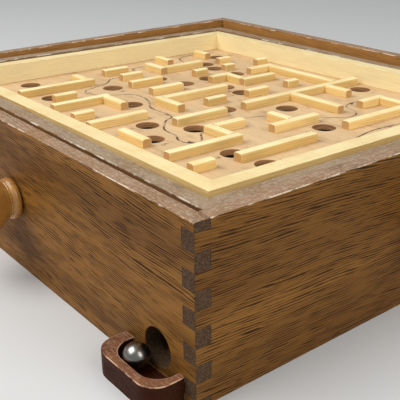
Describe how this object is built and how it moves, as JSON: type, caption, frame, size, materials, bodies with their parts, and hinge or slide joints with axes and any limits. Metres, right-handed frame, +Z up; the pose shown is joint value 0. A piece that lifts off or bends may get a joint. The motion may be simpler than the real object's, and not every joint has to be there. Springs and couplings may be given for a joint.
{
  "type": "tilting labyrinth game",
  "caption": "Tilting wooden labyrinth game: a finger-jointed box with a maze board hung in a frame, tilted by side knobs through strings, with a steel ball and a ball cup.",
  "frame": {"origin": "middle of the box's underside", "axes": "+X towards the right-hand wall and its knob, -Y towards the front wall with the ball cup, +Z up"},
  "size_m": [0.3636, 0.3236, 0.0863],
  "materials": {
    "box_wood": "dark stained, open grain, satin",
    "frame_wood": "worn brown, satin",
    "pale_wood": "pale, lightly varnished",
    "floor_wood": "pale plywood, matt",
    "knob_wood": "turned and varnished",
    "cup_wood": "reddish brown, worn edges",
    "hardboard": "brown hardboard",
    "steel": "plain",
    "brass": "dull",
    "cord": "natural string",
    "ball_steel": "polished steel"
  },
  "bodies": {
    "box": {"front_wall": "box_wood", "back_wall": "box_wood", "left_wall": "box_wood", "right_wall": "box_wood", "base_panel": "hardboard", "base_nails": "steel", "ball_ramp": "hardboard", "ramp_bearers": "frame_wood", "corner_guide": "frame_wood", "ball_cup": "cup_wood", "frame_pivot_pins": "steel"},
    "tilt_frame": {"frame_front_rail": "frame_wood", "frame_back_rail": "frame_wood", "frame_left_rail": "frame_wood", "frame_right_rail": "frame_wood", "board_pivot_pins": "steel", "frame_eyes": "brass", "frame_string": "cord", "frame_spring": "steel"},
    "maze_board": {"rim_front": "pale_wood", "rim_back": "pale_wood", "rim_left": "pale_wood", "rim_right": "pale_wood", "maze_floor": "floor_wood", "long_strips_left": "pale_wood", "long_strips_middle": "pale_wood", "long_strips_right": "pale_wood", "cross_strips_left": "pale_wood", "cross_strips_right": "pale_wood", "board_eyes": "brass", "board_string": "cord", "board_spring": "steel"},
    "front_knob_set": {"front_knob": "knob_wood", "front_shaft": "steel", "front_shaft_collars": "brass", "front_winding": "cord"},
    "right_knob_set": {"right_knob": "knob_wood", "right_shaft": "steel", "right_shaft_collars": "brass", "right_winding": "cord"},
    "loose_ball": {"ball": "ball_steel"}
  },
  "joints": [
    {"name": "frame_tilt", "type": "hinge", "parent": "box", "child": "tilt_frame", "pos_m": [0, 0, 0.0732], "axis": [1, 0, 0], "range_deg": [-3.3, 4.7]},
    {"name": "board_tilt", "type": "hinge", "parent": "tilt_frame", "child": "maze_board", "pos_m": [0, 0, 0.0732], "axis": [0, 0.9999, -0.0122], "range_deg": [-3.5, 4.5]},
    {"name": "right_knob_turn", "type": "hinge", "parent": "box", "child": "right_knob_set", "pos_m": [0, 0, 0.052], "axis": [1, 0, 0], "range_deg": [-23, 32]},
    {"name": "front_knob_turn", "type": "hinge", "parent": "box", "child": "front_knob_set", "pos_m": [0.004, 0, 0.044], "axis": [0, 1, 0], "range_deg": [-32, 41]},
    {"name": "ball_lift", "type": "slide", "parent": "box", "child": "loose_ball", "axis": [0, 0, 1], "range_m": [0, 0.04]}
  ],
  "couplings": [
    {"joint": "right_knob_turn", "follows": "frame_tilt", "ratio": 6.808},
    {"joint": "front_knob_turn", "follows": "board_tilt", "ratio": 9}
  ]
}
